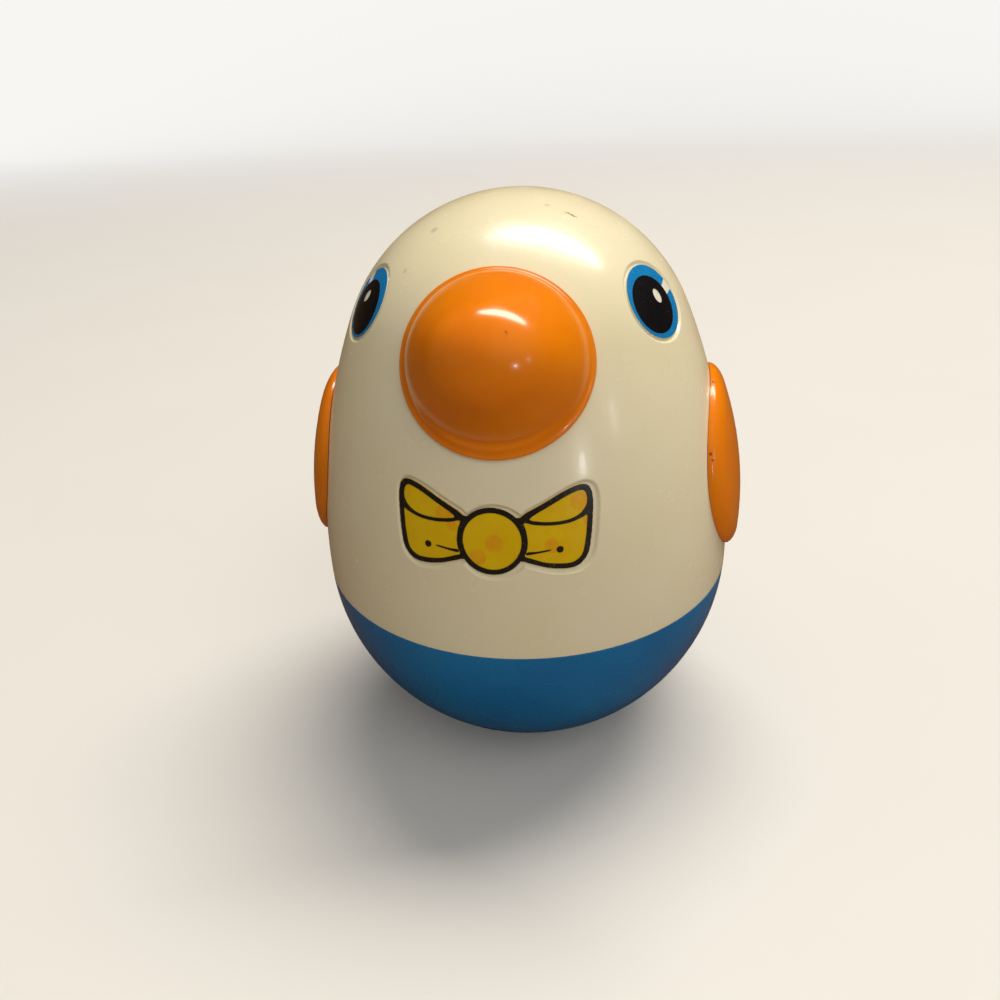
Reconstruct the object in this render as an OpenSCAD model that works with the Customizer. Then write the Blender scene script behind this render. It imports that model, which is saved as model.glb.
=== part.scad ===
// Round-bottomed wobbling bird toy. A weighted blue bowl and an ivory upper shell make
// the egg. The beak and the wings are fixed to the shell, the eyes and the bow tie are
// labels in shallow recesses, and a chime with a swinging clapper stands in the bowl.
// The face looks along -Y, the floor is at zero, and the origin is the middle of the
// flat that the toy stands on.

/* [Body] */
// Widest diameter of the toy
body_d = 110; // [90:1:140]
// Height from the floor to the crown
toy_h = 147.8; // [125:0.2:190]
// Difference between the body's radius and the crown's
taper = 9.9; // [5:0.1:20]
// Wall of the upper shell
body_wall = 2.2; // [1.6:0.1:4]
// Wall of the bowl
base_wall = 2.4; // [1.8:0.1:4]
// Diameter of the flat under the bowl
flat_d = 17; // [10:0.5:26]
// Drop of the seam below the widest section
seam_drop = 1.3; // [0.6:0.1:4]
// Height of the bowl's rim inside the upper shell
rim_h = 5; // [3:0.5:9]
// Thickness of that rim
rim_t = 1.6; // [1:0.1:3]
// Clearance between the rim and the upper shell
rim_gap = 0.1; // [0.05:0.05:0.3]
// Gap between the trim pieces and the shell they sit on
trim_gap = 0.15; // [0.05:0.05:0.4]

/* [Beak] */
// Diameter of the beak at its lip
beak_d = 41.2; // [30:0.2:54]
// Reach of the tip beyond the shell
beak_l = 16; // [10:0.5:30]
// Radius of the rounded tip
beak_tip_r = 14; // [8:0.5:18]
// Tilt of the beak above level
beak_tilt = 23; // [10:1:40]
// Wall of the hollow beak
beak_wall = 2; // [1.2:0.1:3]
// Width of the lip round the foot of the cone
lip_w = 1.4; // [0.8:0.1:4]
// Height of the lip above the shell
lip_t = 1.3; // [0.8:0.1:3]
// Diameter of the stem that passes through the shell
stem_d = 7; // [6:0.5:10]
// Diameter of the seat for the stem inside the shell
stem_seat_d = 16; // [12:0.5:22]
// Depth of that seat's face below the outside
stem_seat_l = 7.5; // [6:0.5:12]

/* [Wings] */
// Height of the wings' middle above the widest section
wing_rise = 27; // [22:0.5:34]
// Diameter of the round front of a wing
wing_d = 47.2; // [36:0.2:58]
// Thickness of a wing at its middle
wing_t = 3.8; // [3:0.1:8]
// Radius of a wing's face from front to back
wing_across_r = 46; // [34:0.5:60]
// Radius of a wing's face from top to bottom
wing_along_r = 95; // [70:1:160]
// Diameter of the rounded tail
tail_d = 13; // [8:0.5:22]
// Distance of the tail behind the middle
tail_back = 21; // [12:0.5:26]
// Distance of the tail below the middle
tail_drop = 14.5; // [8:0.5:18]
// Diameter of the pegs behind a wing
peg_d = 4; // [3:0.1:6]
// Distance between a wing's two pegs
peg_pitch = 20; // [14:0.5:28]
// Clearance round stems and pegs in the shell
peg_gap = 0.15; // [0.05:0.05:0.4]
// Diameter of the peg seats inside the shell
peg_seat_d = 11; // [8:0.5:15]
// Depth of those seats below the inside of the shell
peg_seat_l = 1.8; // [1:0.1:4]
// Diameter of a push-on clip
clip_d = 10; // [7:0.5:14]
// Thickness of a push-on clip
clip_t = 0.6; // [0.4:0.1:1.2]

/* [Eyes] */
// Diameter of an eye label
eye_d = 17.2; // [12:0.2:22]
// Diameter of the pupil
pupil_d = 13.4; // [8:0.1:15]
// Shift of the pupil towards the beak
pupil_front = 1.1; // [0:0.1:2]
// Shift of the pupil downwards
pupil_drop = 0.6; // [0:0.1:2]
// Length of the glint
glint_l = 3.4; // [2:0.1:5]
// Width of the glint
glint_w = 2.4; // [1.4:0.1:4]

/* [Bow tie] */
// Width of the bow tie
bow_w = 43; // [34:0.5:56]
// Diameter of the knot
knot_d = 15.2; // [11:0.2:20]
// Width of the printed lines
line_w = 1.2; // [0.8:0.1:2.5]
// Diameter of the two printed dots
dot_d = 1.6; // [1:0.1:3]

/* [Labels] */
// Depth of the label recesses
recess_t = 0.6; // [0.4:0.05:1]
// Margin of a recess round its label
recess_margin = 0.8; // [0.3:0.1:2]
// Thickness of the label film
film_t = 0.3; // [0.2:0.05:0.4]
// Thickness of the print on the film
print_t = 0.15; // [0.1:0.05:0.3]

/* [Counterweight] */
// Height of the counterweight
weight_h = 11; // [7:0.5:16]
// Gap between the counterweight and the bowl
weight_gap = 1.2; // [0.6:0.1:3]
// Lift of the counterweight above the bottom of the bowl
weight_lift = 3.2; // [2:0.1:6]
// Depth of the pockets for the bowl's posts
pocket_l = 4; // [2.5:0.1:6]
// Clearance round those posts
pocket_gap = 0.5; // [0.3:0.05:1]
// Diameter of the bowl's posts
post_d = 9; // [7:0.5:12]

/* [Chime] */
// Thickness of the chime plate
plate_t = 4; // [3:0.1:6]
// Gap between the chime plate and the bowl
plate_gap = 2; // [1:0.1:4]
// Diameter of the chime rods
rod_d = 3; // [2:0.1:5]
// Length of the shortest rod
rod_l = 36; // [28:0.5:46]
// Step from one rod's length to the next
rod_step = 4; // [1:0.5:6]
// Diameter of the clapper ball
ball_d = 12; // [8:0.5:16]
// Free travel of the ball before it meets a rod
swing = 8.5; // [5:0.1:12]
// Length of the clapper from its pin to the middle of the ball
clapper_l = 24; // [18:0.5:34]
// Diameter of the clapper rod
clapper_d = 1.8; // [1.2:0.1:2]
// Distance between the link's two pins
link_l = 6.5; // [5.5:0.1:10]
// Width of the link
link_w = 5.6; // [4.6:0.1:8]
// Diameter of the pins
pin_d = 2; // [1.6:0.1:2.4]
// Running clearance round the pins
pin_gap = 0.05; // [0.02:0.01:0.09]
// Gap beside the moving faces
side_gap = 0.4; // [0.3:0.05:0.8]
// Diameter of the clapper's eye
eyelet_d = 5.2; // [4:0.1:7]
// Thickness of the clapper's eye
eyelet_t = 2.2; // [1.6:0.1:3]
// Thickness of the bridge's lugs
lug_t = 2.2; // [1.5:0.1:4]
// Height of the crossbar above the hanger pin
lug_l = 5.5; // [4:0.1:9]
// Thickness of the bridge's crossbar
bar_t = 5; // [3:0.1:8]
// Depth of the crossbar and uprights
bar_d = 8; // [6:0.5:12]
// Width of the uprights
upright_w = 5; // [3:0.1:7]
// Width of the bridge's feet
foot_w = 8; // [7:0.5:11]
// Length of the bridge's feet
foot_l = 24; // [20:0.5:30]
// Thickness of the bridge's feet
foot_t = 3; // [2:0.1:5]

/* [Screws] */
// Diameter of the screws
screw_d = 3; // [2.5:0.1:3.5]
// Diameter of the screw heads
head_d = 6; // [5:0.1:7]
// Height of the screw heads
head_h = 2; // [1.4:0.1:3]
// Diameter of the weight screws' washers
washer_d = 8; // [7:0.1:10]
// Diameter of the beak screw's washer
beak_washer_d = 14; // [10:0.5:18]
// Thickness of the washers
washer_t = 0.8; // [0.5:0.1:1.5]
// Bite of the weight screws in the posts
weight_bite = 3.4; // [2.5:0.1:4]
// Bite of the bridge screws in the plate
bridge_bite = 3.4; // [2.4:0.1:3.6]
// Bite of the beak screw in the stem
beak_bite = 10; // [7:0.5:12]
// Clearance of a screw in the hole it cuts into
thread_gap = 0.05; // [0.02:0.01:0.1]
// Clearance of a screw in a free hole
hole_gap = 0.3; // [0.2:0.05:0.6]

/* [Hidden] */
$fn = 96;
overrun = 1;

ivory = [0.92, 0.88, 0.77];
blue = [0.04, 0.36, 0.66];
orange = [0.95, 0.45, 0.05];
black = [0.03, 0.03, 0.03];
yellow = [0.85, 0.68, 0.05];
iron = [0.3, 0.3, 0.31];
steel = [0.72, 0.73, 0.75];
brass_tone = [0.78, 0.62, 0.28];
grey = [0.62, 0.62, 0.6];

// Egg: half a ball below, a long side curve and a round crown, all tangent
body_r = body_d / 2;
widest_z = sqrt(body_r * body_r - flat_d * flat_d / 4);
crown_r = body_r - taper;
crown_rise = toy_h - widest_z - crown_r;
side_r = (body_r * body_r + crown_rise * crown_rise - crown_r * crown_r) / (2 * taper);
join_angle = atan2(crown_rise, side_r - body_r);
seam_z = widest_z - seam_drop;

function join_rise(grow) = (side_r + grow) * sin(join_angle);
function side_at(z) = sqrt(side_r * side_r - z * z) - side_r + body_r;
function crown_at(z) = sqrt(crown_r * crown_r - (z - crown_rise) * (z - crown_rise));
function egg_r(h) = h - widest_z < join_rise(0) ? side_at(h - widest_z) : crown_at(h - widest_z);
function side_lean(z) = asin(z / side_r);
function crown_lean(z) = asin((z - crown_rise) / crown_r);
function egg_lean(h) = h - widest_z < join_rise(0) ? side_lean(h - widest_z) : crown_lean(h - widest_z);

// Places on the egg
beak_h_share = 0.809;
eye_h_share = 0.856;
bow_h_share = 0.561;
eye_turn = 59.8;
beak_h = toy_h * beak_h_share;
eye_h = toy_h * eye_h_share;
bow_h = toy_h * bow_h_share;
wing_h = widest_z + wing_rise;

// Beak: a cone that touches the tip's ball and ends at the lip
lip_r = beak_d / 2;
cone_r = lip_r - lip_w;
cone_z = sqrt(crown_r * crown_r - cone_r * cone_r) - crown_r;
tip_z = beak_l - beak_tip_r;
cone_reach = norm([cone_r, tip_z - cone_z]);
cone_lean = 180 - atan2(tip_z - cone_z, cone_r) - asin(beak_tip_r / cone_reach);
cone_normal = [sin(cone_lean), -cos(cone_lean)];
lip_z = cone_z - lip_w * abs(tan(cone_lean));
stem_r = stem_d / 2;

// Bowl, counterweight and chime plate
bowl_r = body_r - base_wall;
bowl_floor = widest_z - bowl_r;
weight_z = bowl_floor + weight_lift;
seat_z = weight_z + pocket_l;
plate_z = weight_z + weight_h;
plate_top = plate_z + plate_t;
plate_r = sqrt(bowl_r * bowl_r - (widest_z - plate_z) * (widest_z - plate_z)) - plate_gap;
post_share = 0.58;
post_circle_r = plate_r * post_share;
post_turns = [45, 135, 225, 315];

// Chime: the ball hangs level with the upper part of the shortest rod
strike_share = 0.83;
rod_turns = [0, 90, 180, 270];
rod_circle_r = ball_d / 2 + swing + rod_d / 2;
ball_z = plate_z + rod_l * strike_share;
link_pin_z = ball_z + clapper_l;
hanger_z = link_pin_z + link_l;
bar_z = hanger_z + lug_l;
lug_x = link_w / 2 + side_gap;
lug_width_share = 3.5;
lug_w = pin_d * lug_width_share;
link_round_share = 3;
link_r = pin_d * link_round_share / 2;
prong_share = 1.25;
prong_t = eyelet_t * prong_share;
slot_w = eyelet_t + 2 * side_gap;
fork_w = slot_w + 2 * prong_t;
fork_r = link_w / 2;
slot_top = link_pin_z + eyelet_d / 2 + side_gap;
foot_edge = plate_gap / 4;
foot_x = sqrt((plate_r - foot_edge) * (plate_r - foot_edge) - foot_l * foot_l / 4) - foot_w / 2;
foot_screw_share = 0.68;
foot_screw_y = foot_l / 2 * foot_screw_share;

// Bow tie outline and folds, right half, as shares of the width from the knot's middle
half_bow_shares = [
  [0.093, -0.098], [0.164, -0.107], [0.269, -0.138], [0.386, -0.154], [0.444, -0.138],
  [0.484, -0.078], [0.496, 0.047], [0.5, 0.175], [0.483, 0.253], [0.441, 0.273],
  [0.36, 0.25], [0.27, 0.203], [0.138, 0.133], [0.093, 0.112]
];
bow_outline = bow_w * concat(half_bow_shares, turned(flipped(half_bow_shares)));
fold_shares = [[0.15, 0.112], [0.22, 0.095], [0.3, 0.089], [0.38, 0.094], [0.44, 0.115], [0.488, 0.165]];
crease_shares = [[0.155, -0.068], [0.29, -0.052]];
dot_share = [0.342, -0.05];
crease_w_share = 0.6;
fold_w_share = 0.65;

// Eye notch and glint
notch_from = 4;
notch_to = 25.5;
right_eye_roll = -32;
glint_lean = 20;
glint_out_share = 0.36;
glint_up_share = 0.2;
glint_corner_share = 0.88;

// The label on the -X side was stuck on with a turn
function eye_roll(side) = side < 0 ? right_eye_roll : 0;
function turned(pts) = [for (i = [len(pts) - 1:-1:0]) pts[i]];
function flipped(pts) = [for (p = pts) [-p[0], p[1]]];
function unit(v) = v / norm(v);
function left_of(v) = [-v[1], v[0]];
function corner(pts, i, d) =
  let (n = len(pts))
  let (a = left_of(unit(pts[i] - pts[(i + n - 1) % n])))
  let (b = left_of(unit(pts[(i + 1) % n] - pts[i])))
  pts[i] + d * (a + b) / (1 + a * b);
function inset(pts, d) = [for (i = [0:len(pts) - 1]) corner(pts, i, d)];
function strip_end(pts, i, j, d) = pts[i] + d * left_of(unit(pts[j] - pts[i]));
function strip_side(pts, d) =
  let (m = len(pts) - 1)
  let (mid = m < 2 ? [] : [for (i = [1:m - 1]) corner(pts, i, d)])
  concat([strip_end(pts, 0, 1, d)], mid, [strip_end(pts, m, m - 1, -d)]);
function strip(pts, w) = concat(strip_side(pts, -w / 2), turned(strip_side(pts, w / 2)));

module egg_profile(grow) {
  translate([0, widest_z]) {
    intersection() {
      circle(r = body_r + grow);
      translate([0, -body_r - grow])
        square([body_r + grow, body_r + grow]);
    }
    intersection() {
      translate([body_r - side_r, 0])
        circle(r = side_r + grow);
      square([body_r + grow, join_rise(grow)]);
    }
    intersection() {
      translate([0, crown_rise])
        circle(r = crown_r + grow);
      translate([0, join_rise(grow)])
        square([crown_r + grow, crown_r + grow]);
    }
  }
}

module egg(grow) {
  rotate_extrude()
    egg_profile(grow);
}

// Children stand on the egg, turned from the face, with +Z pointing out at the given lean
module on_egg(turn, h, lean) {
  rotate([0, 0, turn])
    translate([0, -egg_r(h), h])
      rotate([90 - lean, 0, 0])
        children();
}

module on_beak() {
  on_egg(0, beak_h, beak_tilt)
    children();
}

module on_eye(side) {
  on_egg(side * eye_turn, eye_h, egg_lean(eye_h))
    children();
}

module on_wing() {
  on_egg(90, wing_h, egg_lean(wing_h))
    children();
}

module both_sides() {
  children();
  mirror([1, 0, 0])
    children();
}

module at_pegs() {
  for (side = [-1, 1])
    translate([0, side * peg_pitch / 2, 0])
      children();
}

module around(turns, r) {
  for (turn = turns)
    rotate([0, 0, turn])
      translate([r, 0, 0])
        children();
}

// A cylinder from z = low to z = high
module rod_between(r, low, high) {
  translate([0, 0, low])
    cylinder(r = r, h = high - low);
}

module screw(length) {
  rod_between(screw_d / 2, -length, 0);
  rod_between(head_d / 2, 0, head_h);
}

module washer(d) {
  difference() {
    rod_between(d / 2, 0, washer_t);
    rod_between(screw_d / 2 + hole_gap, -overrun, washer_t + overrun);
  }
}

// A layer of the shell between two depths below the outside
module layer(low, high) {
  intersection() {
    children();
    difference() {
      egg(-high);
      egg(-low);
    }
  }
}

module bow_shape(margin) {
  polygon(inset(bow_outline, -margin));
  circle(r = knot_d / 2 + margin);
}

module bow_marks() {
  polygon(strip(crease_shares * bow_w, line_w * crease_w_share));
  translate(dot_share * bow_w)
    circle(r = dot_d / 2);
}

module bow_fold() {
  intersection() {
    polygon(bow_outline);
    polygon(strip(fold_shares * bow_w, line_w * fold_w_share));
  }
}

module bow_lines() {
  difference() {
    union() {
      difference() {
        polygon(bow_outline);
        polygon(inset(bow_outline, line_w));
      }
      for (side = [0, 1])
        mirror([side, 0]) {
          bow_fold();
          bow_marks();
        }
      circle(r = knot_d / 2);
    }
    circle(r = knot_d / 2 - line_w);
  }
}

// An outline drawn on the front becomes a bar through the front wall
module front_bar() {
  translate([0, -body_r / 2, bow_h])
    rotate([90, 0, 0])
      linear_extrude(height = body_r / 2 + overrun)
        children();
}

module eye_bar() {
  translate([0, 0, -crown_r / 4])
    linear_extrude(height = crown_r / 4 + overrun)
      children();
}

// Side is 1 on +X and -1 on -X, so that the notch always looks away from the beak
module eye_notch(side) {
  reach = eye_d / 2 + overrun;
  low = [side * cos(notch_from), sin(notch_from)];
  high = [side * cos(notch_to), sin(notch_to)];
  polygon([[0, 0], low * reach, high * reach]);
}

module pupil_place(side) {
  translate([-side * pupil_front, -pupil_drop])
    children();
}

module glint(side) {
  translate([side * pupil_d / 2 * glint_out_share, pupil_d / 2 * glint_up_share])
    rotate(side * glint_lean)
      intersection() {
        square([glint_w, glint_l], center = true);
        circle(r = norm([glint_w, glint_l]) / 2 * glint_corner_share);
      }
}

module body_shell() {
  color(ivory)
    difference() {
      union() {
        difference() {
          egg(0);
          egg(-body_wall);
        }
        intersection() {
          egg(-body_wall / 2);
          union() {
            on_beak()
              rod_between(stem_seat_d / 2, -stem_seat_l, 0);
            both_sides()
              on_wing()
                at_pegs()
                  rod_between(peg_seat_d / 2, -body_wall - peg_seat_l, 0);
          }
        }
      }
      translate([0, 0, seam_z - body_d])
        cylinder(r = body_d, h = body_d);
      on_beak()
        rod_between(stem_r + peg_gap, -stem_seat_l - overrun, beak_l);
      both_sides()
        on_wing()
          at_pegs()
            rod_between(peg_d / 2 + peg_gap, -body_wall - peg_seat_l - overrun, wing_t);
      for (side = [-1, 1])
        difference() {
          on_eye(side)
            eye_bar()
              circle(r = eye_d / 2 + recess_margin);
          egg(-recess_t);
        }
      difference() {
        front_bar()
          bow_shape(recess_margin);
        egg(-recess_t);
      }
    }
}

module base_shell() {
  rim_out = sqrt((body_r - body_wall) * (body_r - body_wall) - seam_drop * seam_drop) - rim_gap;
  rim_in = rim_out - rim_t;
  mid_wall = body_r - base_wall / 2;
  color(blue)
    difference() {
      union() {
        difference() {
          translate([0, 0, widest_z])
            sphere(r = body_r);
          translate([0, 0, widest_z])
            sphere(r = bowl_r);
          translate([0, 0, seam_z])
            cylinder(r = body_d, h = body_d);
        }
        rotate_extrude()
          polygon([
            [rim_in, seam_z - rim_h], [mid_wall, seam_z - rim_h], [mid_wall, seam_z],
            [rim_out, seam_z], [rim_out, seam_z + rim_h], [rim_in, seam_z + rim_h]
          ]);
        intersection() {
          translate([0, 0, widest_z])
            sphere(r = mid_wall);
          around(post_turns, post_circle_r)
            rod_between(post_d / 2, 0, seat_z);
        }
      }
      translate([0, 0, -body_r])
        cylinder(r = body_r, h = body_r);
      around(post_turns, post_circle_r)
        rod_between(screw_d / 2 + thread_gap, seat_z - weight_bite - overrun / 2, seat_z + overrun);
    }
}

module beak_profile(inside, low) {
  top = [0, tip_z] + (beak_tip_r - inside) * cone_normal;
  foot_r = lip_r - inside;
  foot_z = top[1] - (foot_r - top[0]) * abs(tan(cone_lean));
  polygon([[0, low], [foot_r, low], [foot_r, foot_z], top, [0, top[1]]]);
  intersection() {
    translate([0, tip_z])
      circle(r = beak_tip_r - inside);
    translate([0, top[1]])
      square([beak_tip_r, beak_tip_r]);
  }
}

module beak() {
  low = -lip_r / 2;
  color(orange)
    difference() {
      union() {
        difference() {
          union() {
            on_beak()
              rotate_extrude()
                beak_profile(0, low);
            intersection() {
              on_beak()
                rod_between(lip_r, low, 0);
              egg(lip_t);
            }
          }
          egg(trim_gap);
          on_beak()
            rotate_extrude()
              beak_profile(beak_wall, low - overrun);
        }
        on_beak()
          rod_between(stem_r, hole_gap - stem_seat_l, beak_l - beak_wall);
      }
      on_beak()
        rod_between(screw_d / 2 + thread_gap, -stem_seat_l, beak_bite + overrun - stem_seat_l);
    }
}

// Round front and tail joined by the lines that touch both
module wing_outline() {
  span = norm([tail_back, tail_drop]);
  aim = atan2(-tail_drop, tail_back);
  open = acos((wing_d - tail_d) / 2 / span);
  tail = [tail_back, -tail_drop];
  up = [cos(aim + open), sin(aim + open)];
  down = [cos(aim - open), sin(aim - open)];
  circle(r = wing_d / 2);
  translate(tail)
    circle(r = tail_d / 2);
  polygon([up * wing_d / 2, [0, 0], down * wing_d / 2, tail + down * tail_d / 2, tail, tail + up * tail_d / 2]);
}

// The wing's face is a barrel, rounder across than along
module wing_face() {
  translate([0, 0, wing_t - wing_across_r])
    rotate([90, 0, 0])
      rotate_extrude()
        intersection() {
          translate([wing_across_r - wing_along_r, 0])
            circle(r = wing_along_r);
          translate([0, -wing_d])
            square([wing_across_r, 2 * wing_d]);
        }
}

module wing() {
  color(orange) {
    difference() {
      intersection() {
        on_wing()
          translate([0, 0, -body_r / 2])
            linear_extrude(height = body_r)
              wing_outline();
        on_wing()
          wing_face();
      }
      egg(trim_gap);
    }
    on_wing()
      at_pegs()
        rod_between(peg_d / 2, -body_wall - peg_seat_l - clip_t - overrun, wing_t / 2);
  }
}

module wing_left() {
  wing();
}

module wing_right() {
  mirror([1, 0, 0])
    wing();
}

module wing_clips() {
  top = -body_wall - peg_seat_l;
  color(steel)
    both_sides()
      on_wing()
        at_pegs()
          difference() {
            rod_between(clip_d / 2, top - clip_t, top);
            rod_between(peg_d / 2, top - clip_t - overrun, top + overrun);
          }
}

module eye_film(side) {
  color(ivory)
    layer(recess_t, recess_t - film_t)
      on_eye(side)
        eye_bar()
          circle(r = eye_d / 2);
}

module eye_iris(side) {
  color(blue)
    layer(recess_t - film_t, recess_t - film_t - print_t)
      on_eye(side)
        eye_bar()
          rotate(eye_roll(side))
            difference() {
              circle(r = eye_d / 2);
              pupil_place(side)
                circle(r = pupil_d / 2);
              eye_notch(side);
            }
}

module eye_pupil(side) {
  color(black)
    layer(recess_t - film_t, recess_t - film_t - print_t)
      on_eye(side)
        eye_bar()
          rotate(eye_roll(side))
            pupil_place(side)
              difference() {
                circle(r = pupil_d / 2);
                glint(side);
              }
}

module eye_film_left() {
  eye_film(1);
}

module eye_film_right() {
  eye_film(-1);
}

module eye_iris_left() {
  eye_iris(1);
}

module eye_iris_right() {
  eye_iris(-1);
}

module eye_pupil_left() {
  eye_pupil(1);
}

module eye_pupil_right() {
  eye_pupil(-1);
}

module bow_film() {
  color(yellow)
    layer(recess_t, recess_t - film_t)
      front_bar()
        bow_shape(0);
}

module bow_print() {
  color(black)
    layer(recess_t - film_t, recess_t - film_t - print_t)
      front_bar()
        bow_lines();
}

module counterweight() {
  color(iron)
    difference() {
      intersection() {
        translate([0, 0, widest_z])
          sphere(r = bowl_r - weight_gap);
        rod_between(bowl_r, weight_z, plate_z);
      }
      around(post_turns, post_circle_r) {
        rod_between(post_d / 2 + pocket_gap, weight_z - overrun, seat_z);
        rod_between(screw_d / 2 + hole_gap, seat_z - overrun, plate_z + overrun);
      }
    }
}

module weight_screws() {
  top = plate_top + washer_t;
  color(steel)
    around(post_turns, post_circle_r)
      translate([0, 0, top])
        screw(top - seat_z + weight_bite);
}

module weight_washers() {
  color(steel)
    around(post_turns, post_circle_r)
      translate([0, 0, plate_top])
        washer(washer_d);
}

module at_foot_screws() {
  for (side = [-1, 1])
    for (end = [-1, 1])
      translate([side * foot_x, end * foot_screw_y, 0])
        children();
}

module chime_plate() {
  color(grey)
    difference() {
      rod_between(plate_r, plate_z, plate_top);
      around(post_turns, post_circle_r)
        rod_between(screw_d / 2 + hole_gap, plate_z - overrun, plate_top + overrun);
      around(rod_turns, rod_circle_r)
        rod_between(rod_d / 2, plate_z - overrun, plate_top + overrun);
      at_foot_screws()
        rod_between(screw_d / 2 + thread_gap, plate_z - overrun, plate_top + overrun);
    }
}

module chime_rod(place) {
  color(steel)
    around([rod_turns[place]], rod_circle_r)
      rod_between(rod_d / 2, plate_z, plate_z + rod_l + place * rod_step);
}

module chime_rod_1() {
  chime_rod(0);
}

module chime_rod_2() {
  chime_rod(2);
}

module chime_rod_3() {
  chime_rod(1);
}

module chime_rod_4() {
  chime_rod(3);
}

// A block centred on the Z axis in X and Y
module block(size, low, high) {
  translate([-size[0] / 2, -size[1] / 2, low])
    cube([size[0], size[1], high - low]);
}

module across_x(z, r, length) {
  translate([-length / 2, 0, z])
    rotate([0, 90, 0])
      cylinder(r = r, h = length);
}

module across_y(z, r, length) {
  translate([0, length / 2, z])
    rotate([90, 0, 0])
      cylinder(r = r, h = length);
}

module chime_bridge() {
  color(grey)
    difference() {
      union() {
        for (side = [-1, 1]) {
          translate([side * foot_x, 0, 0]) {
            block([foot_w, foot_l], plate_top, plate_top + foot_t);
            block([upright_w, bar_d], plate_top, bar_z + bar_t);
          }
          translate([side * (lug_x + lug_t / 2), 0, 0]) {
            block([lug_t, lug_w], hanger_z, bar_z + bar_t / 2);
            across_x(hanger_z, lug_w / 2, lug_t);
          }
        }
        block([2 * foot_x, bar_d], bar_z, bar_z + bar_t);
      }
      across_x(hanger_z, pin_d / 2, 2 * foot_x);
      at_foot_screws()
        rod_between(screw_d / 2 + hole_gap, plate_z, plate_top + foot_t + overrun);
    }
}

module bridge_screws() {
  color(steel)
    at_foot_screws()
      translate([0, 0, plate_top + foot_t])
        screw(foot_t + bridge_bite);
}

module hanger_pin() {
  color(steel)
    across_x(hanger_z, pin_d / 2, 2 * (lug_x + lug_t) + pin_d / 2);
}

module clapper_link() {
  color(brass_tone)
    difference() {
      union() {
        across_x(hanger_z, link_r, link_w);
        block([link_w, fork_w], link_pin_z, hanger_z);
        across_y(link_pin_z, fork_r, fork_w);
      }
      across_x(hanger_z, pin_d / 2 + pin_gap, link_w + overrun);
      across_y(link_pin_z, pin_d / 2, fork_w + overrun);
      block([link_w + overrun, slot_w], link_pin_z - link_w, slot_top);
    }
}

module link_pin() {
  color(steel)
    across_y(link_pin_z, pin_d / 2, fork_w);
}

module clapper_rod() {
  color(steel)
    difference() {
      union() {
        across_y(link_pin_z, eyelet_d / 2, eyelet_t);
        rod_between(clapper_d / 2, ball_z, link_pin_z);
      }
      across_y(link_pin_z, pin_d / 2 + pin_gap, eyelet_t + overrun);
    }
}

module clapper_ball() {
  color(brass_tone)
    difference() {
      translate([0, 0, ball_z])
        sphere(r = ball_d / 2);
      rod_between(clapper_d / 2, ball_z, ball_z + ball_d);
    }
}

module beak_screw() {
  color(steel)
    on_beak()
      translate([0, 0, -stem_seat_l - washer_t])
        rotate([180, 0, 0])
          screw(beak_bite + washer_t);
}

module beak_washer() {
  color(steel)
    on_beak()
      translate([0, 0, -stem_seat_l - washer_t])
        washer(beak_washer_d);
}

body_shell();
base_shell();
beak();
wing_left();
wing_right();
eye_film_left();
eye_film_right();
eye_iris_left();
eye_iris_right();
eye_pupil_left();
eye_pupil_right();
bow_film();
bow_print();
counterweight();
weight_screws();
weight_washers();
chime_plate();
chime_rod_1();
chime_rod_2();
chime_rod_3();
chime_rod_4();
chime_bridge();
bridge_screws();
hanger_pin();
clapper_link();
link_pin();
clapper_rod();
clapper_ball();
beak_screw();
beak_washer();
wing_clips();
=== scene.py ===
import math

import bpy
import numpy as np
from mathutils import Matrix, Vector


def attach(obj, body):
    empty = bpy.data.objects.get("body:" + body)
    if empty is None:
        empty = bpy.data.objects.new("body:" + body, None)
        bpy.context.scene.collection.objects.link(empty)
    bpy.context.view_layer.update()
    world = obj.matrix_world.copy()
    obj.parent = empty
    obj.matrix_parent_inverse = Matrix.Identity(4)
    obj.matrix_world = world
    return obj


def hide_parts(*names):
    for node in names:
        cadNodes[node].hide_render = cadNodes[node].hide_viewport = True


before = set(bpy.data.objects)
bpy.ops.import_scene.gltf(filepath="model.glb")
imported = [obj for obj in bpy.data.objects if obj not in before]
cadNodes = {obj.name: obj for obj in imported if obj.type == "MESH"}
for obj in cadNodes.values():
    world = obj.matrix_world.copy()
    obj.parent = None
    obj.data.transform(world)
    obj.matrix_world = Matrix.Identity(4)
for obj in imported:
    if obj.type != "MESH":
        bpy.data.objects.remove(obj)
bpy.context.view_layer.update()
mm = 0.001  # sizes are in millimetres where no other unit is noted
weld = 2e-6  # points closer than this are joined, in metres
tiny = 1e-12  # keeps divisions safe

# the egg: half a ball below, a long side curve, a round crown
egg = {
    "bodyR": 55.0,
    "toyH": 147.8,
    "taper": 9.9,
    "flatR": 8.5,
    "seamDrop": 1.3,
}
bodyR = egg["bodyR"]
widestZ = math.sqrt(bodyR ** 2 - egg["flatR"] ** 2)
crownR = bodyR - egg["taper"]
crownRise = egg["toyH"] - widestZ - crownR
sideR = (bodyR ** 2 + crownRise ** 2 - crownR ** 2) / (2 * egg["taper"])
sideX = bodyR - sideR
joinAngle = math.atan2(crownRise, sideR - bodyR)
seamZ = widestZ - egg["seamDrop"]


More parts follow.
